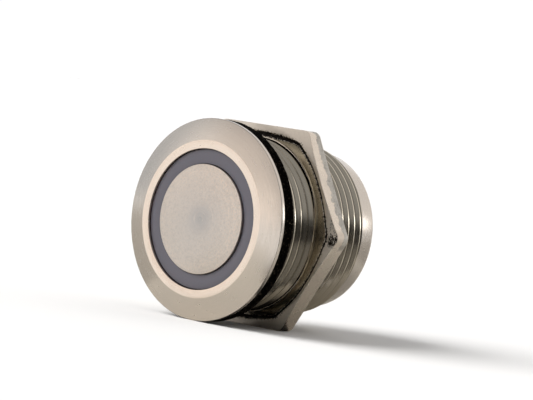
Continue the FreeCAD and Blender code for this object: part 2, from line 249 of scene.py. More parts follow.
def clamped(tree, value, low=0.0, high=1.0):
    """The value, kept between low and high."""
    return calc(tree, "MAXIMUM", calc(tree, "MINIMUM", value, high), low)


def parted(tree, vector):
    """X, Y and Z of a vector."""
    return make(tree, "ShaderNodeSeparateXYZ", Vector=vector).outputs


def choose(tree, test, when_false, when_true):
    """One float Switch node."""
    node = tree.nodes.new("GeometryNodeSwitch")
    node.input_type = "FLOAT"
    for label, value in (("Switch", test), ("False", when_false), ("True", when_true)):
        connect(tree, node, label, value)
    return node.outputs[0]


def compare(tree, operation, first, second):
    """One float Compare node."""
    return calc(tree, operation, first, second, kind="FunctionNodeCompare")


# %% The thread's inputs
ROWS_PER_PITCH = 16
CREST_FLAT = 1 / 16
FLANK = 6 / 16
thread_tree = bpy.data.node_groups.new("helical_thread", "GeometryNodeTree")
THREAD_INPUTS = {}
THREAD_SIZES = {"Pitch": 1.0, "Crest Radius": 9.5, "Root Radius": 9.1, "Wall Radius": 8.5, "Start": 0.0, "End": 10.0,
                "Start Radius": 8.9, "End Radius": 8.7, "End Slope": 1.0, "Phase": 0.0}
for kind, inputs in (("Float", THREAD_SIZES), ("Bool", {"Inside": False}), ("Int", {"Segments": 192}),
                     ("Material", {"Material": None})):
    for label, start in inputs.items():
        socket = thread_tree.interface.new_socket(label, in_out="INPUT", socket_type="NodeSocket" + kind)
        if start is not None:
            socket.default_value = start
        THREAD_INPUTS[label] = socket.identifier
thread_tree.interface.new_socket("Mesh", in_out="OUTPUT", socket_type="NodeSocketGeometry")
t = thread_tree
given = t.nodes.new("NodeGroupInput").outputs
print("thread inputs:", len(THREAD_INPUTS))

# %% Grid of rows and columns
length = calc(t, "SUBTRACT", given["End"], given["Start"])
turns = calc(t, "CEIL", calc(t, "DIVIDE", length, given["Pitch"]))
rows = calc(t, "MULTIPLY_ADD", calc(t, "ADD", turns, 3.0), float(ROWS_PER_PITCH), 1.0)
columns = calc(t, "ADD", given["Segments"], 1.0)
grid = make(t, "GeometryNodeMeshGrid", Size_X=1.0, Size_Y=1.0, Vertices_X=rows, Vertices_Y=columns)
place = parted(t, t.nodes.new("GeometryNodeInputPosition").outputs[0])
last_row = calc(t, "SUBTRACT", rows, 1.0)
row = calc(t, "ROUND", times(t, calc(t, "ADD", place[0], 0.5), last_row))
round_share = calc(t, "ADD", place[1], 0.5)
angle = times(t, round_share, TAU)

# %% Place of each row along the axis, before and after it is clamped
first = times(t, calc(t, "FLOOR", calc(t, "DIVIDE", given["Start"], given["Pitch"])), given["Pitch"])
first = calc(t, "SUBTRACT", first, times(t, given["Pitch"], 2.0))
pitches = calc(t, "DIVIDE", row, float(ROWS_PER_PITCH))
along = calc(t, "ADD", pitches, round_share)
raw = calc(t, "ADD", calc(t, "MULTIPLY_ADD", along, given["Pitch"], first), given["Phase"])
y_place = clamped(t, raw, given["Start"], given["End"])

# %% Radius of each row: a flat crest and root with flanks between them
turn_share = calc(t, "FRACT", pitches)
from_crest = calc(t, "SUBTRACT", 0.5, calc(t, "ABSOLUTE", calc(t, "SUBTRACT", turn_share, 0.5)))
flank = clamped(t, calc(t, "DIVIDE", calc(t, "SUBTRACT", from_crest, CREST_FLAT), FLANK))
depth = calc(t, "SUBTRACT", given["Crest Radius"], given["Root Radius"])
radius = calc(t, "SUBTRACT", given["Crest Radius"], times(t, flank, depth))

# %% Ends: a cone that the outer thread stays within, and the inner thread stays outside
from_start = times(t, calc(t, "SUBTRACT", y_place, given["Start"]), given["End Slope"])
from_end = times(t, calc(t, "SUBTRACT", given["End"], y_place), given["End Slope"])
coned = []
for nearer, lean in (("MINIMUM", "ADD"), ("MAXIMUM", "SUBTRACT")):
    limit = calc(t, nearer, calc(t, lean, given["Start Radius"], from_start),
                 calc(t, lean, given["End Radius"], from_end))
    coned.append(calc(t, nearer, radius, limit))
radius = choose(t, given["Inside"], *coned)
radius = choose(t, compare(t, "LESS_THAN", raw, given["Start"]), radius, given["Start Radius"])
radius = choose(t, compare(t, "GREATER_THAN", raw, given["End"]), radius, given["End Radius"])

# %% The first row and the last two close the tube on its hidden side
next_to_last = compare(t, "GREATER_THAN", row, calc(t, "SUBTRACT", last_row, 1.5))
very_last = compare(t, "GREATER_THAN", row, calc(t, "SUBTRACT", last_row, 0.5))
very_first = compare(t, "LESS_THAN", row, 0.5)
for test, end in ((next_to_last, "End"), (very_last, "Start"), (very_first, "Start")):
    radius = choose(t, test, radius, given["Wall Radius"])
    y_place = choose(t, test, y_place, given[end])

# %% Bend the grid into the thread
position = make(t, "ShaderNodeCombineXYZ", X=times(t, radius, calc(t, "SINE", angle), MM), Y=times(t, y_place, MM),
                Z=times(t, radius, calc(t, "COSINE", angle), MM))
bent = make(t, "GeometryNodeSetPosition", Geometry=grid.outputs["Mesh"], Position=position.outputs[0])
merged = make(t, "GeometryNodeMergeByDistance", Geometry=bent.outputs[0], Distance=0.0005 * MM)
real = make(t, "GeometryNodeRealizeInstances", Geometry=merged.outputs[0])
dressed = make(t, "GeometryNodeSetMaterial", Geometry=real.outputs[0], Material=given["Material"])
make(t, "NodeGroupOutput", Mesh=dressed.outputs[0])
print("thread tree nodes:", len(t.nodes))


# %% Run the tree and keep a plain mesh
def grow_thread(name, material, **sizes):
    """A plain mesh object made by the thread's tree."""
    seed = add_object(name + "_seed", bpy.data.meshes.new(name + "_seed"))
    modifier = seed.modifiers.new("thread", "NODES")
    modifier.node_group = thread_tree
    for label, value in sizes.items():
        modifier[THREAD_INPUTS[label.replace("_", " ").title()]] = value
    modifier[THREAD_INPUTS["Material"]] = material
    evaluated = seed.evaluated_get(bpy.context.evaluated_depsgraph_get())
    mesh = bpy.data.meshes.new_from_object(evaluated)
    bpy.data.objects.remove(seed)
    work = bmesh.new()
    work.from_mesh(mesh)
    bmesh.ops.recalc_face_normals(work, faces=work.faces)
    open_edges = sum(1 for edge in work.edges if len(edge.link_faces) != 2)
    work.to_mesh(mesh)
    work.free()
    mesh.name = name
    mesh.shade_smooth()
    mesh.set_sharp_from_angle(angle=math.radians(26))
    piece = add_object(name, mesh)
    print(name, "triangles:", count(piece), "open edges:", open_edges)
    return piece


# %% [markdown]
# ## Colours and the shared effects
# Metal shows mostly what stands round it, so its own colour varies little. What makes it look turned is the
# grain: fine rings that catch the light. Three effects are shared by several finishes, so each is a node
# group that is built once: the turned grain, soft clouds of handling, and fine speckle.

# %% Start a material
def new_material(name, color, roughness, metallic=0.0):
    """A material with its Principled shader, and its tree."""
    material = bpy.data.materials.new(name)
    material.use_nodes = True
    tree = material.node_tree
    shader = next(n for n in tree.nodes if n.type == "BSDF_PRINCIPLED")
    feed(tree, shader, Base_Color=(*color, 1), Roughness=roughness, Metallic=metallic)
    material.diffuse_color = (*color, 1)
    return material, tree, shader


def scaled(tree, vector, factor):
    """A vector times a number."""
    node = tree.nodes.new("ShaderNodeVectorMath")
    node.operation = "SCALE"
    connect(tree, node, 0, vector)
    connect(tree, node, "Scale", factor)
    return node.outputs[0]


def millimetres(tree):
    """Object coordinates in millimetres."""
    return scaled(tree, tree.nodes.new("ShaderNodeTexCoord").outputs["Object"], 1 / MM)


# %% Distance from the axis, and heading about it
def axis_distance(tree, at):
    """How far a point of the surface lies from the Y axis."""
    x, _, z = parted(tree, at)
    return calc(tree, "SQRT", calc(tree, "ADD", times(tree, x, x), times(tree, z, z)))


def axis_heading(tree, at):
    """The angle of a point about the Y axis, which is 0 at the top."""
    x, _, z = parted(tree, at)
    return calc(tree, "ARCTAN2", x, z)


# %% Group: turned grain
def start_group(name, inputs, outputs):
    """A shader node group with a vector and number inputs, what its inside reads, and its end."""
    tree = bpy.data.node_groups.new(name, "ShaderNodeTree")
    tree.interface.new_socket("Vector", in_out="INPUT", socket_type="NodeSocketVector")
    for label, value in inputs.items():
        tree.interface.new_socket(label, in_out="INPUT", socket_type="NodeSocketFloat").default_value = value
    for label in outputs:
        tree.interface.new_socket(label, in_out="OUTPUT", socket_type="NodeSocketFloat")
    return tree, tree.nodes.new("NodeGroupInput").outputs, tree.nodes.new("NodeGroupOutput").inputs


grain_group, into, out = start_group("turned_grain", {"Rings per mm": 14.0, "Streaks": 2.0, "Seed": 0.0},
                                     ["Rings", "Streak"])
g = grain_group
for label, ring_scale, turn_scale, detail in (("Rings", 1.0, 0.35, 3.0), ("Streak", 0.22, 3.0, 2.0)):
    density = times(g, into["Rings per mm"], ring_scale)
    swing = times(g, into["Streaks"], turn_scale)
    spot = make(g, "ShaderNodeCombineXYZ", X=times(g, axis_distance(g, into["Vector"]), density),
                Y=times(g, parted(g, into["Vector"])[1], density),
                Z=calc(g, "MULTIPLY_ADD", axis_heading(g, into["Vector"]), swing, into["Seed"]))
    cloud = make(g, "ShaderNodeTexNoise", Vector=spot.outputs[0], Scale=1.0, Detail=detail)
    g.links.new(cloud.outputs["Fac"], out[label])

# %% Group: clouds of handling, and fine speckle
cloud_group, into, out = start_group("handling_clouds", {"Size": 4.0, "Contrast": 2.0}, ["Mask"])
g = cloud_group
cloud = make(g, "ShaderNodeTexNoise", Vector=into["Vector"], Scale=calc(g, "DIVIDE", 1.0, into["Size"]), Detail=4.0,
             Roughness=0.55)
centred = times(g, calc(g, "SUBTRACT", cloud.outputs["Fac"], 0.5), into["Contrast"])
g.links.new(clamped(g, calc(g, "ADD", centred, 0.5)), out["Mask"])

speckle_group, into, out = start_group("fine_speckle", {"Spots per mm": 9.0, "Threshold": 0.6, "Softness": 0.1},
                                       ["Mask"])
g = speckle_group
cloud = make(g, "ShaderNodeTexNoise", Vector=into["Vector"], Scale=into["Spots per mm"], Detail=5.0, Roughness=0.7)
over = calc(g, "DIVIDE", calc(g, "SUBTRACT", cloud.outputs["Fac"], into["Threshold"]), into["Softness"])
g.links.new(clamped(g, over), out["Mask"])
print("groups:", grain_group.name, cloud_group.name, speckle_group.name)


# %% Place a group in a material
def use_group(tree, group, vector, **values):
    """A group node fed with the vector and its own values."""
    node = tree.nodes.new("ShaderNodeGroup")
    node.node_tree = group
    feed(tree, node, Vector=vector, **values)
    return node.outputs


def clouds(tree, at, size, contrast):
    """Mask of soft clouds."""
    return use_group(tree, cloud_group, at, Size=size, Contrast=contrast)["Mask"]


def speckle(tree, at, per_mm, threshold, softness):
    """Mask of fine speckle."""
    return use_group(tree, speckle_group, at, Spots_per_mm=per_mm, Threshold=threshold, Softness=softness)["Mask"]


# %% Blend colours and values
def mix_color(tree, mask, low, high):
    """Blend two colours by a mask."""
    node = tree.nodes.new("ShaderNodeMix")
    node.data_type = "RGBA"
    connect(tree, node, "Factor", mask)
    for slot, value in ((6, low), (7, high)):
        connect(tree, node, slot, (*value, 1) if isinstance(value, tuple) else value)
    return node.outputs[2]


def layered(tree, base, layers):
    """Lay colours over a base, each where its own mask is."""
    for mask, color in layers:
        base = mix_color(tree, mask, base, color)
    return base


def mix_value(tree, mask, low, high):
    """Blend two numbers by a mask."""
    node = make(tree, "ShaderNodeMix", Factor=mask)
    connect(tree, node, 2, low)
    connect(tree, node, 3, high)
    return node.outputs[0]


def between(tree, value, low, high):
    """0 at low, 1 at high, and a ramp between them."""
    return make(tree, "ShaderNodeMapRange", Value=value, From_Min=low, From_Max=high).outputs[0]


def spread(tree, mask, low, high):
    """Stretch a mask to the range from low to high."""
    return make(tree, "ShaderNodeMapRange", Value=mask, To_Min=low, To_Max=high).outputs[0]


def bump(tree, shader, height, strength, distance_mm, below=None):
    """A Bump node between a height and the shader's normal."""
    node = make(tree, "ShaderNodeBump", Strength=strength, Distance=distance_mm * MM, Height=height)
    if below:
        feed(tree, node, Normal=below)
    feed(tree, shader, Normal=node.outputs[0])
    return node.outputs[0]


# %% [markdown]
# ## Metal finishes
# The bezel, the plate and the barrel are the same bright nickel-plated metal with different tool marks. One
# function makes the bezel's and the barrel's finish, and the plate gets a material of its own further down.
# The function takes the colour, the fineness of the rings, how rough it is, and how much the clouds of handling
# change it. A nickel warm grey is used and not a pure white, because a real plated surface swallows a little blue.

# %% Turned metal
# How dark the painted shade in the thread roots is, as a share of the shade colour.
ROOT_SHADE = 0.16


def turned_metal(name, color, shade, roughness, rings, grain, cloud_size, speck, dark_to=None, land=None):
    """Bright metal with rings, clouds and fine speckle. shade is its darker, cooler colour.

    dark_to is a pair of radii: inside the first the metal is painted dark as shade, and outside the second it keeps
    its colour.
    land is the colour of the flat face near the axis, which is turned more finely than the rest.
    """
    material, tree, shader = new_material(name, color, roughness, 1.0)
    at = millimetres(tree)
    turning = use_group(tree, grain_group, at, Rings_per_mm=rings, Streaks=2.2)
    darker = tuple(c * (1 - speck) for c in shade)
    base = layered(tree, mix_color(tree, clouds(tree, at, cloud_size, 1.6), color, shade), [
        (times(tree, speckle(tree, at, 7.0, 0.5, 0.22), 0.6), darker),
        (spread(tree, turning["Rings"], -0.25, 0.75), darker),
    ])
    if dark_to:
        # Painted shade: the colour darkens inside the first radius of dark_to, as shade in the thread roots.
        root_unshaded = between(tree, axis_distance(tree, at), *dark_to)
        base = mix_color(tree, root_unshaded, tuple(c * ROOT_SHADE for c in shade), base)
    if land:
        on_land = between(tree, axis_distance(tree, at), LAND_RADIUS + 0.07, LAND_RADIUS - 0.03)
        base = mix_color(tree, times(tree, on_land, 0.8), base, land)
    worn = spread(tree, turning["Streak"], roughness - 0.06, roughness + 0.08)
    feed(tree, shader, Base_Color=base, Roughness=worn)
    bump(tree, shader, turning["Rings"], grain, 0.01)
    return material


bezel_metal = turned_metal("bezel_metal", (0.755, 0.685, 0.61), (0.69, 0.635, 0.58), roughness=0.24, rings=16.0,
                           grain=0.3, cloud_size=5.0, speck=0.06, land=(0.86, 0.735, 0.625))
# The barrel thread's roots get painted shade through dark_to.
barrel_metal = turned_metal("barrel_metal", (0.80, 0.725, 0.60), (0.70, 0.635, 0.53), roughness=0.21, rings=20.0,
                            grain=0.15, cloud_size=3.0, speck=0.06, dark_to=(9.02, 9.24))

bezel_and_barrel.data.materials.append(bezel_metal)
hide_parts("housing")
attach(bezel_and_barrel, "switch")

# %% Grow both threads
THREAD_PHASE = 0.24
CREST = 9.5
ROOT = 9.08
barrel_thread = grow_thread("barrel_thread", barrel_metal, crest_radius=CREST, root_radius=ROOT,
                            wall_radius=8.5, start=THREAD_START, end=THREAD_END, start_radius=RELIEF,
                            end_radius=COLLAR, phase=THREAD_PHASE, segments=192)
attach(barrel_thread, "switch")

# %% [markdown]
# ## The hexagon nut
# The nut is cut from flat stock: rounded corners, a shallow chamfer in front, and a back that is flat to the
# edges. A torn ring runs where the tool went from the face to the chamfer: wide at the top, a thin line on the
# right, and further out at the corners. It lies in a shallow groove, and its near-black colour is painted shade.
# The hole is countersunk a little, and its gap, painted black as shade and grease, is widest where the thread's first
# turn hasn't started yet.
# A hexagonal cylinder with booleans gives poor shading. Here each column of the mesh stands at one angle, and
# each row knows its radius there, so the chamfer's curves come out by themselves. The tapped hole breaks
# through the face, so the hole's edge follows the thread and isn't a circle.

# %% Radius of the hexagon at an angle
NUT_FRONT = 6.75
NUT_BACK = 8.9
APOTHEM = 11.0
CORNER = APOTHEM / math.cos(math.pi / 6)
CORNER_ROUND = 1.0
CHAMFER_CIRCLE = 10.95
CHAMFER_SLOPE = math.tan(math.radians(14))
MINOR = 9.13
MAJOR = 9.54


def hexagon_radius(angle):
    """Distance from the axis to the side of the nut. The angle is 0 at the top, in the middle of a flat."""
    off = angle % (math.pi / 3) - math.pi / 6
    centre = (APOTHEM - CORNER_ROUND) / math.cos(math.pi / 6)
    tangent = math.atan2(CORNER_ROUND / 2, centre + CORNER_ROUND * math.cos(math.pi / 6))
    if abs(off) < tangent:
        return centre * math.cos(off) + math.sqrt(CORNER_ROUND ** 2 - (centre * math.sin(off)) ** 2)
    return APOTHEM / math.cos(math.pi / 6 - abs(off))


# %% Edge of the tapped hole at an angle
def crest_beside(angle, y):
    """Radius of the barrel's thread at an angle and a place along the axis."""
    share = (y - THREAD_PHASE - angle / TAU) % 1.0
    flank = (min(share, 1 - share) - CREST_FLAT) / FLANK
    return CREST - (CREST - ROOT) * held(flank)


def mouth_radius(angle, y):
    """Edge of the countersunk hole. Where the thread starts, near the +X corner, its crest fills the sink."""
    from_start = (math.degrees(angle) - 88) / 22
    ragged = 0.05 * noise.noise(Vector((math.sin(angle) * 55, math.cos(angle) * 55, y)))
    return max(9.57 - 0.27 * math.exp(-from_start ** 2) + ragged, crest_beside(angle, y - 0.03) + 0.03)


# %% Rows of the nut at an angle
SINK_FLOOR = 0.15
THREAD_FACE = 0.28
SIDE_ROWS = 22
HIDDEN_RADIUS = 9.75
REAR_MOUTH = 9.6


def part_way(first, last, share):
    """The value at a share of the way from first to last."""
    return first + (last - first) * share


def nut_column(angle):
    """Points (radius, y, section) round the nut's section at one angle.

    Sections are 0 hole, 1 face, 2 torn ring, 3 chamfer, 4 side and 5 back. The fraction is the share of each.
    """
    side = hexagon_radius(angle)
    corner = (side - APOTHEM) / (CORNER - APOTHEM)
    mouth = mouth_radius(angle, NUT_FRONT)
    face_start = mouth + 0.11
    rightward = held(math.sin(angle) / 0.75) ** 2
    near_top = max(0.0, math.cos(angle - 0.12)) ** 16
    ring_end = 10.36 + 0.30 * rightward + 0.68 * corner - 0.08 * near_top
    ring_start = max(ring_end - 0.20 - 0.32 * (1 - rightward) - 0.10 * near_top, mouth + 0.16)
    inner = crest_beside(angle, NUT_FRONT + SINK_FLOOR) + 0.03
    sink = [(HIDDEN_RADIUS, THREAD_FACE, 0.0), (mouth, THREAD_FACE, 0.1), (mouth, SINK_FLOOR + 0.02, 0.15),
            (inner + 0.02, SINK_FLOOR + 0.02, 0.2), (inner, SINK_FLOOR, 0.3), (mouth, SINK_FLOOR, 0.6),
            (mouth, 0.02, 0.7), (mouth + 0.015, -0.02, 0.9), (mouth + 0.05, -0.028, 1.0), (face_start, 0, 1.1)]
    points = [(r, NUT_FRONT + depth, section) for r, depth, section in sink]
    for share in (0.2, 0.4, 0.6, 0.8, 0.95):
        points.append((part_way(face_start, ring_start, share), NUT_FRONT, 1 + share))
    for share in (0.0, 0.2, 0.4, 0.6, 0.8):
        groove = 0.09 * math.sin(math.pi * share) + 0.02 * share
        points.append((part_way(ring_start, ring_end, share), NUT_FRONT + groove, 2 + share))
    for share in (0.0, 0.15, 0.35, 0.55, 0.75, 0.92):
        r = part_way(ring_end, side, share)
        fall = max(0.0, r - CHAMFER_CIRCLE) * CHAMFER_SLOPE
        points.append((r, NUT_FRONT + max(fall, 0.01), 3 + share))
    edge = NUT_FRONT + (side - CHAMFER_CIRCLE) * CHAMFER_SLOPE
    points += [(side - 0.05, edge - 0.008, 3.97), (side - 0.012, edge + 0.012, 3.99), (side, edge + 0.05, 4.0)]
    for step in range(1, SIDE_ROWS):
        y = part_way(edge + 0.05, NUT_BACK - 0.07, step / SIDE_ROWS)
        points.append((side, y, 4 + step / SIDE_ROWS))
    points += [(side, NUT_BACK - 0.07, 4.97), (side - 0.015, NUT_BACK - 0.02, 4.99), (side - 0.07, NUT_BACK, 5.0)]
    for share in (0.8, 0.6, 0.4, 0.2, 0.0):
        points.append((part_way(REAR_MOUTH, side - 0.1, share) + 0.02, NUT_BACK, 5.9 - share * 0.9))
    return points + [(REAR_MOUTH, NUT_BACK - 0.02, 5.92), (REAR_MOUTH, NUT_BACK - 0.13, 5.95),
                     (HIDDEN_RADIUS, NUT_BACK - 0.13, 5.99)]


# %% The nut's mesh
def roughened(r, y, section, angle):
    """The point pushed in by noise, and how worn it is: the torn ring and the torn rear of each side."""
    spot = Vector((r * math.sin(angle), y, r * math.cos(angle)))
    coarse = noise.noise(spot * 0.9 + Vector((0, 0, 7)))
    middling = noise.noise(spot * 3.1)
    fine = noise.noise(spot * 9.0 + Vector((5, 0, 0))) * 0.5 + 0.5
    if 2.1 < section < 3.0:
        return r, y + 0.05 * fine, 1.0
    if 3.0 <= section < 3.95:
        return r, y + 0.01 * fine, 0.0
    if 4.0 < section < 5.0:
        torn = held((y - 8.0 - 0.45 * coarse - 0.22 * middling) / 0.1) * held(spot.z + 1.5)
        return r - torn * (0.02 + 0.02 * fine), y, torn
    return r, y, 0.0


def nut_body(name, columns=900):
    """The hexagon. Corners point to +X and -X, flats up and down. V of its map is the section's number."""
    work = bmesh.new()
    uv = work.loops.layers.uv.new("sections")
    worn_layer = work.verts.layers.float.new("worn")
    rings = []
    for k in range(columns):
        angle = TAU * k / columns
        ring = []
        for r, y, section in nut_column(angle):
            r, y, worn = roughened(r, y, section, angle)
            vertex = work.verts.new(Vector((r * math.sin(angle), y, r * math.cos(angle))) * MM)
            vertex[worn_layer] = worn
            ring.append((vertex, section))
        rings.append(ring)
    for k, ring in enumerate(rings):
        after = rings[(k + 1) % columns]
        for j in range(len(ring)):
            i = (j + 1) % len(ring)
            corners = [(ring[j], k), (ring[i], k), (after[i], k + 1), (after[j], k + 1)]
            face = work.faces.new([vertex for (vertex, _), _ in corners])
            for loop, ((_, section), column) in zip(face.loops, corners):
                loop[uv].uv = (column / columns, section)
    bmesh.ops.recalc_face_normals(work, faces=work.faces)
    return finished(work, name, sharp_degrees=32)


panel_nut = nut_body("panel_nut")
print("panel_nut triangles:", count(panel_nut))

# %% [markdown]
# ## The nut's finish
# Its plating is duller than the bezel's, and the tool left its marks: a torn ring on the face, and a rough grey
# rear on each side. Light and shade are painted into the colour too: the ring, the step where the rough rear starts
# and the back face are painted dark as shade, the hole is painted black as shade and grease, a bright band on the
# hole's lip is a painted highlight, and dark patches on the corner tips and on the top near a corner are painted
# reflections. The mesh has a UV map whose V tells the section, so each mask is a band of V, and noise breaks its
# edges.

# %% Bands along the nut's section
def band(tree, value, start, end, soft):
    """1 between start and end of a value, with soft edges."""
    return times(tree, between(tree, value, start - soft, start + soft), between(tree, value, end + soft, end - soft))


# %% What the nut's masks read
NUT_BRIGHT = (0.84, 0.75, 0.65)
nut_metal, tree, shader = new_material("nut_metal", NUT_BRIGHT, 0.3, 1.0)
at = millimetres(tree)
x_here, _, z_here = parted(tree, at)
off_middle = calc(tree, "ABSOLUTE", x_here)
nut_map = tree.nodes.new("ShaderNodeUVMap")
nut_map.uv_map = "sections"
section = parted(tree, nut_map.outputs[0])[1]
worn_layer = tree.nodes.new("ShaderNodeAttribute")
worn_layer.attribute_name = "worn"
worn = worn_layer.outputs["Fac"]
large_clouds = clouds(tree, at, size=1.4, contrast=2.2)
small_clouds = clouds(tree, at, size=0.16, contrast=2.6)
grit = speckle(tree, at, per_mm=3.2, threshold=0.5, softness=0.10)

# %% The nut's masks
shifted = calc(tree, "ADD", section, times(tree, calc(tree, "SUBTRACT", small_clouds, 0.5), 0.55))
# Painted shade and grease: the hole is painted nearly black.
hole_grease_and_shade = band(tree, section, -0.5, 0.75, 0.08)
# Painted highlight: a bright, broken band on the hole's lip.
lip_painted_highlight = times(tree, band(tree, section, 0.86, 1.06, 0.03), small_clouds)
in_face = band(tree, section, 1.08, 1.98, 0.03)
# Painted shade: the torn ring in its shallow groove is painted nearly black.
ring_painted_shade = band(tree, shifted, 2.04, 2.95, 0.10)
in_chamfer = band(tree, section, 3.0, 3.96, 0.02)
in_rear = times(tree, worn, band(tree, section, 4.0, 5.02, 0.01))
# Painted shadow: a dark line along the step where the torn rear of each side starts.
step_painted_shade = times(tree, band(tree, worn, 0.25, 0.75, 0.2), band(tree, section, 4.0, 4.97, 0.01))
# Painted shade: the back face, which faces away from the light, is painted darker.
back_painted_shade = band(tree, section, 5.02, 5.85, 0.01)
# Painted reflection: dark patches on the chamfer near the corner tips at the sides, broken by clouds.
corner_side = between(tree, off_middle, 11.35, 11.55)
below_tip = times(tree, between(tree, z_here, 0.5, -0.1), 0.35)
tip_reflection_mask = between(tree, calc(tree, "ADD", small_clouds, below_tip), 0.62, 0.75)
tip_reflection_mask = times(tree, tip_reflection_mask, between(tree, z_here, -1.15, -0.7))
tip_painted_reflection = times(tree, in_chamfer, corner_side, tip_reflection_mask)
# Painted reflection: a dark patch on the top flat near its rear corner.
on_top = times(tree, between(tree, z_here, 10.5, 10.7), band(tree, section, 4.35, 4.7, 0.05))
top_painted_reflection = times(tree, on_top, band(tree, x_here, 4.5, 6.0, 0.2), 0.9)

# %% Nut material
face_tone = mix_color(tree, large_clouds, (0.86, 0.80, 0.68), (0.64, 0.585, 0.49))
rear_tone = mix_color(tree, times(tree, small_clouds, 0.7), (0.72, 0.69, 0.64), (0.44, 0.42, 0.38))
# Painted light in this list: the ring, step and back colours are painted shade, the hole colour is painted shade and
# grease, the lip colour is a painted highlight, and the tip and top colour is a painted reflection.
plated = layered(tree, mix_color(tree, large_clouds, NUT_BRIGHT, (0.78, 0.70, 0.61)), [
    (in_face, face_tone),
    (times(tree, in_chamfer, 0.6), (0.80, 0.76, 0.69)),
    (times(tree, grit, 0.08), (0.40, 0.36, 0.31)),
    (in_rear, rear_tone),
    (times(tree, step_painted_shade, 0.45), (0.20, 0.18, 0.16)),
    (back_painted_shade, (0.42, 0.39, 0.34)),
    (lip_painted_highlight, (0.92, 0.87, 0.80)),
    (ring_painted_shade, (0.014, 0.011, 0.009)),
    (calc(tree, "MAXIMUM", tip_painted_reflection, top_painted_reflection), (0.02, 0.017, 0.013)),
    (hole_grease_and_shade, (0.010, 0.008, 0.006)),
])
satin = mix_value(tree, in_chamfer, spread(tree, large_clouds, 0.20, 0.34), 0.48)
satin = mix_value(tree, in_face, satin, spread(tree, large_clouds, 0.10, 0.18))
satin = mix_value(tree, between(tree, off_middle, 12.1, 12.35), satin, 0.55)
satin = mix_value(tree, worn, satin, spread(tree, grit, 0.5, 0.7))
feed(tree, shader, Base_Color=plated, Roughness=satin)
bump(tree, shader, times(tree, grit, calc(tree, "ADD", worn, 0.06)), 0.5, 0.03)
print("nut_metal nodes:", len(tree.nodes))

panel_nut.data.materials.append(nut_metal)
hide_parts("hex_nut")
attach(panel_nut, "nut")

# %% The nut's thread
# Painted shade and grease: the tapped thread is nearly black metal.
tapped_metal_grease_and_shade = turned_metal("tapped_metal_grease_and_shade", (0.06, 0.052, 0.042), (0.04, 0.035, 0.028), roughness=0.5, rings=18.0,
                            grain=0.2, cloud_size=3.0, speck=0.1)
nut_thread = grow_thread("nut_thread", tapped_metal_grease_and_shade, crest_radius=MAJOR, root_radius=MINOR,
                         wall_radius=9.78, start=NUT_FRONT + 0.25, end=NUT_BACK - 0.1, start_radius=9.62,
                         end_radius=9.62, end_slope=6.0, phase=THREAD_PHASE, segments=160, inside=True)
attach(nut_thread, "nut")

# %% [markdown]
# ## The foam gasket
# A die-cut ring of closed-cell foam. Its edges are soft and a little ragged, because foam tears between its
# cells, so the ring is turned first and then each point is pushed a few hundredths by noise. The cells are
# colour and bump in the material, because they are far smaller than the mesh.

# %% Gasket mesh
GASKET_RADIUS = 10.98
GASKET_BACK = 1.52
POINT_SPACING = 0.16
FLOOR_Z = -11.0
gasket_outline = rounded([(9.6, 0.0, 0.06), (GASKET_RADIUS, 0.0, 0.05), (GASKET_RADIUS, GASKET_BACK, 0.10),
                          (9.6, GASKET_BACK, 0.08)], steps=3)
fine_outline = []
for first, second in zip(gasket_outline, gasket_outline[1:] + gasket_outline[:1]):
    pieces = max(1, int(math.dist(first, second) / POINT_SPACING))
    fine_outline += [first.lerp(second, share / pieces) for share in range(pieces)]
foam_gasket = turned("foam_gasket", fine_outline, segments=420)
for vertex in foam_gasket.data.vertices:
    spot = vertex.co / MM
    push = 0.035 * noise.noise(spot * 2.6) + 0.02 * noise.noise(spot * 7.0) - 0.02
    out_from_axis = Vector((spot.x, 0, spot.z)).normalized()
    middle = out_from_axis * 10.25 + Vector((0, 0.7, 0))
    pushed = spot + (spot - middle).normalized() * push
    # Clear of the flange and of the floor
    pushed.y = held(pushed.y, 0.004, GASKET_BACK)
    pushed.z = held(pushed.z, FLOOR_Z + 0.01, -FLOOR_Z - 0.01)
    vertex.co = pushed * MM
print("foam_gasket triangles:", count(foam_gasket))

# %% Foam material
foam, tree, shader = new_material("foam", (0.004, 0.0035, 0.003), 0.9)
at = millimetres(tree)
cells = make(tree, "ShaderNodeTexVoronoi", Vector=at, Scale=3.4)
dust = speckle(tree, at, per_mm=4.0, threshold=0.58, softness=0.07)
feed(tree, shader, Base_Color=mix_color(tree, dust, (0.001, 0.0008, 0.0006), (0.06, 0.048, 0.034)),
     Roughness=spread(tree, dust, 0.8, 0.95), Specular_IOR_Level=0.01)
bump(tree, shader, cells.outputs["Distance"], 0.9, 0.12)
foam_gasket.data.materials.append(foam)
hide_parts("face_gasket")
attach(foam_gasket, "switch")

# %% [markdown]
# ## Light ring and touch plate
# The ring is the rim of a dark, slightly translucent moulded cup. The plate sits in it with a hair's breadth
# of air all round, which shows as a thin dark line. Both are turned from rounded outlines. The plate's stem
# goes down through the cup, so its outline includes it.

# %% Ring and plate meshes
ring_cup = turned("ring_cup", rounded([
    (6.03, -0.95, 0.03),
    (7.57, -0.95, 0.04),
    (7.57, 0.1, 0.03),
    (6.6, 0.1, 0),
    (6.6, 2.15, 0),
    (5.0, 2.15, 0),
    (5.0, 0.58, 0),
    (2.2, 0.58, 0),
    (2.2, 2.15, 0),
    (1.35, 2.15, 0),
    (1.35, -0.22, 0),
    (6.03, -0.22, 0),
], steps=3), segments=224)
touch_disc = turned("touch_disc", rounded([
    (0, -1.22, 0),
    (5.97, -1.22, 0.05),
    (5.97, -0.22, 0.03),
    (1.25, -0.22, 0),
    (1.25, 4.9, 0.04),
    (0, 4.9, 0),
]), segments=224)
print("ring_cup triangles:", count(ring_cup), "touch_disc triangles:", count(touch_disc))

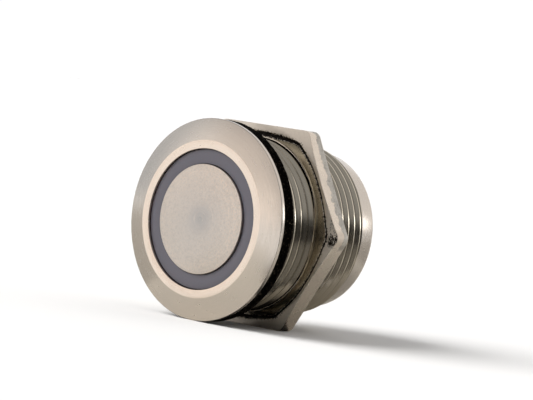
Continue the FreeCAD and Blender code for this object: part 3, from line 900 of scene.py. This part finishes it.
# %% Ring material
smoked, tree, shader = new_material("smoked_ring", (0.095, 0.088, 0.105), 0.45)
at = millimetres(tree)
haze = clouds(tree, at, size=3.0, contrast=1.2)
fleck = speckle(tree, at, per_mm=12.0, threshold=0.55, softness=0.2)
feed(tree, shader, Base_Color=mix_color(tree, haze, (0.092, 0.088, 0.106), (0.082, 0.078, 0.096)),
     Roughness=spread(tree, fleck, 0.38, 0.5), Subsurface_Weight=0.08, Subsurface_Scale=0.3 * MM, Coat_Weight=0.05)
bump(tree, shader, fleck, 0.08, 0.01)
ring_cup.data.materials.append(smoked)
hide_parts("light_ring")
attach(ring_cup, "switch")

# %% Touch plate material
plate_metal, tree, shader = new_material("plate_metal", (0.70, 0.60, 0.51), 0.32, 1.0)
at = millimetres(tree)
rings_here = use_group(tree, grain_group, at, Rings_per_mm=11.0, Streaks=1.4, Seed=3.0)
coarse_rings = use_group(tree, grain_group, at, Rings_per_mm=3.2, Streaks=0.6, Seed=9.0)
haze = clouds(tree, at, size=2.6, contrast=1.5)
fleck = speckle(tree, at, per_mm=4.5, threshold=0.46, softness=0.3)
warm_or_cool = clouds(tree, at, size=0.2, contrast=3.2)
from_axis = axis_distance(tree, at)
# Painted reflection: the plate turns greyer towards the middle and darker at the core, as a turned disc's light
# pattern.
middle = times(tree, between(tree, from_axis, 5.2, 0.8), spread(tree, haze, 0.35, 1.0))
painted_dark_core = times(tree, between(tree, from_axis, 2.0, 0.2), 0.75)
# Painted shade: darker away from the right, by heading about the axis.
from_right = calc(tree, "SUBTRACT", axis_heading(tree, at), 1.3)
painted_shade_away_from_right = calc(tree, "MULTIPLY_ADD", calc(tree, "COSINE", from_right), -0.25, 0.25)
# Painted highlights: bright arcs along the rings where the haze is high.
painted_highlight_arcs = times(tree, between(tree, rings_here["Rings"], 0.60, 0.70), between(tree, haze, 0.55, 0.85), 0.8)
base = layered(tree, mix_color(tree, warm_or_cool, (0.80, 0.675, 0.57), (0.66, 0.63, 0.59)), [
    (painted_shade_away_from_right, (0.57, 0.515, 0.455)),
    (middle, (0.50, 0.49, 0.485)),
    (painted_dark_core, (0.36, 0.37, 0.385)),
    (times(tree, fleck, 0.85), (0.44, 0.41, 0.39)),
    (spread(tree, rings_here["Rings"], -0.3, 0.7), (0.54, 0.495, 0.455)),
    (spread(tree, coarse_rings["Rings"], -0.3, 0.6), (0.57, 0.53, 0.49)),
    (painted_highlight_arcs, (0.92, 0.82, 0.72)),
])
feed(tree, shader, Base_Color=base, Roughness=spread(tree, rings_here["Streak"], 0.24, 0.40))
first_bump = bump(tree, shader, rings_here["Rings"], 0.55, 0.012)
bump(tree, shader, fleck, 0.22, 0.012, below=first_bump)

touch_disc.data.materials.append(plate_metal)
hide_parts("touch_plate")
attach(touch_disc, "switch")

# %% [markdown]
# ## Rear pieces
# The moulded plug, the spring clip and the four solder lugs close the barrel. Their CAD shapes are right, so
# each gets a copy of its own mesh, with the loose triangles merged and round faces shaded smooth, and only
# the finish is new.

# %% Copies of CAD nodes with merged faces
def merged_copy(node, name):
    """A copy of a CAD node's mesh with its doubles merged and its curved faces smooth."""
    work = bmesh.new()
    work.from_mesh(nodes[node].data)
    bmesh.ops.remove_doubles(work, verts=work.verts, dist=0.001 * MM)
    bmesh.ops.dissolve_limit(work, angle_limit=math.radians(0.5), verts=work.verts, edges=work.edges)
    return finished(work, name, sharp_degrees=30)


# %% Plastics and small metals
def moulded(name, color, tint, roughness):
    """Moulded plastic with a fine spark-eroded skin."""
    material, tree, shader = new_material(name, color, roughness)
    at = millimetres(tree)
    haze = clouds(tree, at, size=2.0, contrast=1.5)
    skin = speckle(tree, at, per_mm=10.0, threshold=0.48, softness=0.2)
    feed(tree, shader, Base_Color=mix_color(tree, haze, color, tint),
         Roughness=spread(tree, skin, roughness - 0.06, roughness + 0.1))
    bump(tree, shader, skin, 0.2, 0.012)
    return material


def small_metal(name, color, tint, roughness, scratch):
    """Stamped or plated small metal with faint scratches."""
    material, tree, shader = new_material(name, color, roughness, 1.0)
    at = millimetres(tree)
    haze = clouds(tree, at, size=0.8, contrast=2.0)
    stretch = make(tree, "ShaderNodeMapping", Vector=at, Scale=(9.0, 1.0, 9.0))
    lines = speckle(tree, stretch.outputs[0], per_mm=2.0, threshold=0.5, softness=0.25)
    feed(tree, shader, Base_Color=mix_color(tree, haze, color, tint),
         Roughness=spread(tree, lines, roughness - 0.05, roughness + 0.12))
    bump(tree, shader, lines, scratch, 0.01)
    return material


black_moulding = moulded("black_moulding", (0.022, 0.022, 0.024), (0.035, 0.034, 0.035), 0.5)
seal_skin = moulded("seal_skin", (0.018, 0.018, 0.018), (0.03, 0.03, 0.03), 0.4)
chip_skin = moulded("chip_skin", (0.03, 0.03, 0.033), (0.045, 0.045, 0.048), 0.45)
ceramic = moulded("ceramic", (0.42, 0.30, 0.19), (0.36, 0.26, 0.17), 0.35)
board_mask = moulded("board_mask", (0.02, 0.16, 0.07), (0.03, 0.2, 0.09), 0.35)
lamp_resin = moulded("lamp_resin", (0.8, 0.72, 0.4), (0.75, 0.7, 0.45), 0.3)
tinned = small_metal("tinned", (0.74, 0.71, 0.66), (0.62, 0.59, 0.54), 0.28, 0.2)
spring_metal = small_metal("spring_metal", (0.58, 0.56, 0.53), (0.46, 0.44, 0.42), 0.3, 0.3)

# %% Clear guide material
clear, tree, shader = new_material("clear_guide", (0.92, 0.95, 0.96), 0.08)
flow = clouds(tree, millimetres(tree), size=1.5, contrast=1.5)
feed(tree, shader, Transmission_Weight=0.9, IOR=1.49, Roughness=spread(tree, flow, 0.05, 0.14))

# %% Dress the rear pieces
REAR = {
    "rear_plug": ("plug_moulding", black_moulding, "black_plastic"),
    "retaining_clip": ("snap_ring", spring_metal, "spring_steel"),
}
for number in range(1, 5):
    REAR[f"solder_lug_{number}"] = (f"lug_{number}", tinned, "tinned_brass")
for node, (name, material, slot) in REAR.items():
    piece = merged_copy(node, name)
    piece.data.materials.append(material)
    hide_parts(node)
    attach(piece, "switch")
    print(name, "triangles:", count(piece))

# %% [markdown]
# ## Pieces inside the barrel
# Boards, chips, header and seals are hidden by the housing, so their CAD meshes stay as they are. They still
# get a finish each, for whoever opens the model up.

# %% Finishes of the CAD nodes that stay
INNER = {
    seal_skin: ["front_seal", "rear_seal"],
    clear: ["light_guide"],
    tinned: ["stem_nut", "header_pins"],
    board_mask: ["led_board", "control_board", "power_board"],
    lamp_resin: ["ring_leds"],
    chip_skin: ["led_resistors", "touch_chip", "microcontroller", "switching_transistor", "voltage_regulator",
                "reverse_diode", "chip_resistors"],
    ceramic: ["chip_capacitors", "store_capacitor"],
    black_moulding: ["front_header_strip", "rear_header_strip"],
    spring_metal: ["contact_spring"],
}
for material, members in INNER.items():
    for name in members:
        nodes[name].data.materials.clear()
        nodes[name].data.materials.append(material)
print("CAD nodes with a new finish:", sum(len(m) for m in INNER.values()))

# %% [markdown]
# ## Floor and world
# Polished metal shows the room, so the room matters as much as the finish. A plain pale floor carries the
# object's shadow. The world is a light tent in few parts: white behind the object, a large soft front from
# the left to the middle, and a greyer left side, right side and ceiling. It is built from the direction
# alone, with a few soft lobes added to an even grey, because that is quicker to adjust than panels. A small
# dark spot in front on the right stands for the lens, which every polished thing mirrors.

# %% Floor
FLOOR_REACH = 3.0
floor_mesh = bpy.data.meshes.new("floor")
floor_mesh.from_pydata([(x * FLOOR_REACH, y * FLOOR_REACH, FLOOR_Z * MM)
                        for x, y in ((-1, -1), (1, -1), (1, 1), (-1, 1))], [], [(0, 1, 2, 3)])
floor = add_object("floor", floor_mesh)
floor_paint, tree, shader = new_material("floor_paint", (0.93, 0.93, 0.93), 0.8)
feed(tree, shader, Specular_IOR_Level=0.0)
floor_mesh.materials.append(floor_paint)

# %% [markdown]
# ## Cards that the metal mirrors
# Bright metal on a white floor looks flat, because it mirrors white from every side. In a studio, grey cards
# lie round it and a black one stands under the lens. The barrel mirrors the nut's face, and that face mirrors
# the side where the lens is, so the standing card makes the barrel's black zone. Only mirrored rays meet the
# cards: they throw no shadow and stay out of the picture, as if they were just beyond its edge. Painting the
# dark zones onto the metal would be simpler, but they would turn with the object instead of with the view.

# %% Cards
CARD_Z = FLOOR_Z + 0.05


def strip_card(right, front, back):
    """Corners of a card that lies across under the object."""
    return [(-15, front), (right, front), (right, back), (-15, back)]


CARDS = [
    ("black_card", 0.01, [(20, -42, -9.5), (58, -4, -9.5), (58, -4, 7.5), (20, -42, 7.5)]),
    ("front_right_card", 0.13, [(9.5, -24), (60, -60), (70, 4), (9.5, 7)]),
    ("near_back_card", 0.66, [(11.5, 7), (40, 5.7), (60, 35), (11.5, 35)]),
    ("far_back_card", 0.34, [(11.5, 35), (60, 35), (240, 300), (60, 300)]),
    ("far_front_card", 0.66, [(-30, -60), (9.5, -60), (9.5, -15), (-15, -15)]),
    ("front_card", 0.66, strip_card(9.5, -15, -0.5)),
    ("under_front_card", 0.04, strip_card(9.5, -0.5, 2.4)),
    ("under_gap_card", 0.95, strip_card(9.5, 2.4, 5.0)),
    ("under_nut_card", 0.04, strip_card(9.5, 5.0, 8.5)),
    ("under_back_card", 0.66, strip_card(11.5, 8.5, 45)),
    ("left_card", 0.45, [(-15, -9), (-260, -130), (-260, 40), (-15, 20)]),
]
for name, tone, corners in CARDS:
    places = [corner if len(corner) == 3 else (*corner, CARD_Z) for corner in corners]
    card_mesh = bpy.data.meshes.new(name)
    card_mesh.from_pydata([Vector(place) * MM for place in places], [], [(0, 1, 2, 3)])
    card = add_object(name, card_mesh)
    card_paint, tree, shader = new_material(name + "_paint", (tone, tone * 0.96, tone * 0.88), 0.9)
    card_mesh.materials.append(card_paint)
    card.visible_camera = False
    card.visible_shadow = False
    card.visible_diffuse = False
    print(name, "tone:", tone)

# %% World
world = bpy.data.worlds.new("studio")
bpy.context.scene.world = world
world.use_nodes = True
w = world.node_tree
background = next(n for n in w.nodes if n.type == "BACKGROUND")
direction = w.nodes.new("ShaderNodeTexCoord").outputs["Generated"]
SKY_GREY = (0.30, 0.30, 0.30)
LOBES = [
    ("back_white", (-0.658, 0.752, 0.0), 0.72, 0.93, (0.72, 0.72, 0.72)),
    ("front_left", (-0.50, -0.865, 0.0), 0.70, 0.93, (0.60, 0.52, 0.46)),
    ("front_middle", (-0.09, -0.995, 0.0), 0.945, 0.995, (0.38, 0.335, 0.30)),
    ("back_top", (0.22, 0.75, 0.62), 0.72, 0.95, (0.52, 0.49, 0.46)),
    ("left_grey", (-0.92, -0.33, 0.20), 0.80, 0.98, (0.28, 0.30, 0.32)),
    ("back_right", (0.62, 0.77, 0.0), 0.75, 0.95, (0.05, 0.045, 0.04)),
]
LENS = ((0.658, -0.752, 0.037), 0.978, 0.993)
LENS_GREY = (0.29, 0.29, 0.29)
print("lobes:", len(LOBES))

# %% Soft lobes of light
def lobe(tree, towards, outer, inner, color):
    """Light within a cone: full above the cosine inner, none below outer."""
    dot = tree.nodes.new("ShaderNodeVectorMath")
    dot.operation = "DOT_PRODUCT"
    connect(tree, dot, 0, direction)
    connect(tree, dot, 1, Vector(towards).normalized())
    soft = make(tree, "ShaderNodeMapRange", Value=dot.outputs["Value"], From_Min=outer, From_Max=inner)
    soft.interpolation_type = "SMOOTHSTEP"
    return scaled(tree, color, soft.outputs[0])


light = SKY_GREY
for name, *cone in LOBES:
    light = calc(w, "ADD", light, lobe(w, *cone), kind="ShaderNodeVectorMath")
    print("lobe:", name)
light = calc(w, "SUBTRACT", light, lobe(w, *LENS, LENS_GREY), kind="ShaderNodeVectorMath")
feed(w, background, Color=light, Strength=1.0)

# %% [markdown]
# ## Lamps
# A soft sun lights the floor evenly, so the floor has no bright pool. The metal doesn't mirror it, because a
# real tent would hide it behind cloth. A low strip behind the object on the right makes the narrow bright
# bars on the rim and on the collar, which tell the eye that they are round.

# %% Sun and strip
def lamp(name, kind, place, target, energy, color, mirrored=True, **form):
    """A lamp that looks at a point and that the camera doesn't see."""
    light = bpy.data.lights.new(name, kind)
    light.energy = energy
    light.color = color
    for label, value in form.items():
        setattr(light, label, value)
    thing = bpy.data.objects.new(name, light)
    bpy.context.scene.collection.objects.link(thing)
    look = (Vector(target) - Vector(place)).normalized()
    thing.rotation_euler = look.to_track_quat("-Z", "Y").to_euler()
    thing.location = place
    thing.visible_camera = False
    thing.visible_glossy = mirrored
    print(name, "energy:", energy)


lamp("soft_sun", "SUN", (-0.50, -0.58, 0.58), (0, 0, 0), 3.4, (1.0, 0.99, 0.98), mirrored=False,
     angle=math.radians(50))
lamp("rear_strip", "AREA", (0.31, 0.385, 0.10), (0, 0.008, 0), 0.09, (1.0, 0.99, 0.97), shape="RECTANGLE",
     size=0.10, size_y=0.09)

# %% [markdown]
# ## Camera
# The camera's place and its long lens were worked out from the ellipses of the bezel, the ring and the
# thread crests, so a piece of the real size falls where it does on the real object's picture.

# %% Camera
IMAGE_WIDTH = 533
FOCAL_PIXELS = 3000
SENSOR = 36
CAMERA_PLACE = (217.95, -239.82, 14.98)
camera_data = bpy.data.cameras.new("camera")
camera_data.sensor_width = SENSOR
camera_data.lens = FOCAL_PIXELS / IMAGE_WIDTH * SENSOR
camera_data.clip_start = 0.01
camera_data.clip_end = 20
camera = bpy.data.objects.new("camera", camera_data)
bpy.context.scene.collection.objects.link(camera)
right = Vector((0.74137, 0.65609, 0.14113)).normalized()
forward = Vector((-0.65833, 0.75183, -0.03693)).normalized()
upward = right.cross(forward).normalized()
turn = Matrix((right, upward, -forward)).transposed()
camera.matrix_world = Matrix.Translation(Vector(CAMERA_PLACE) * MM) @ turn.to_4x4()
bpy.context.scene.camera = camera
bpy.context.scene.view_settings.view_transform = "Standard"
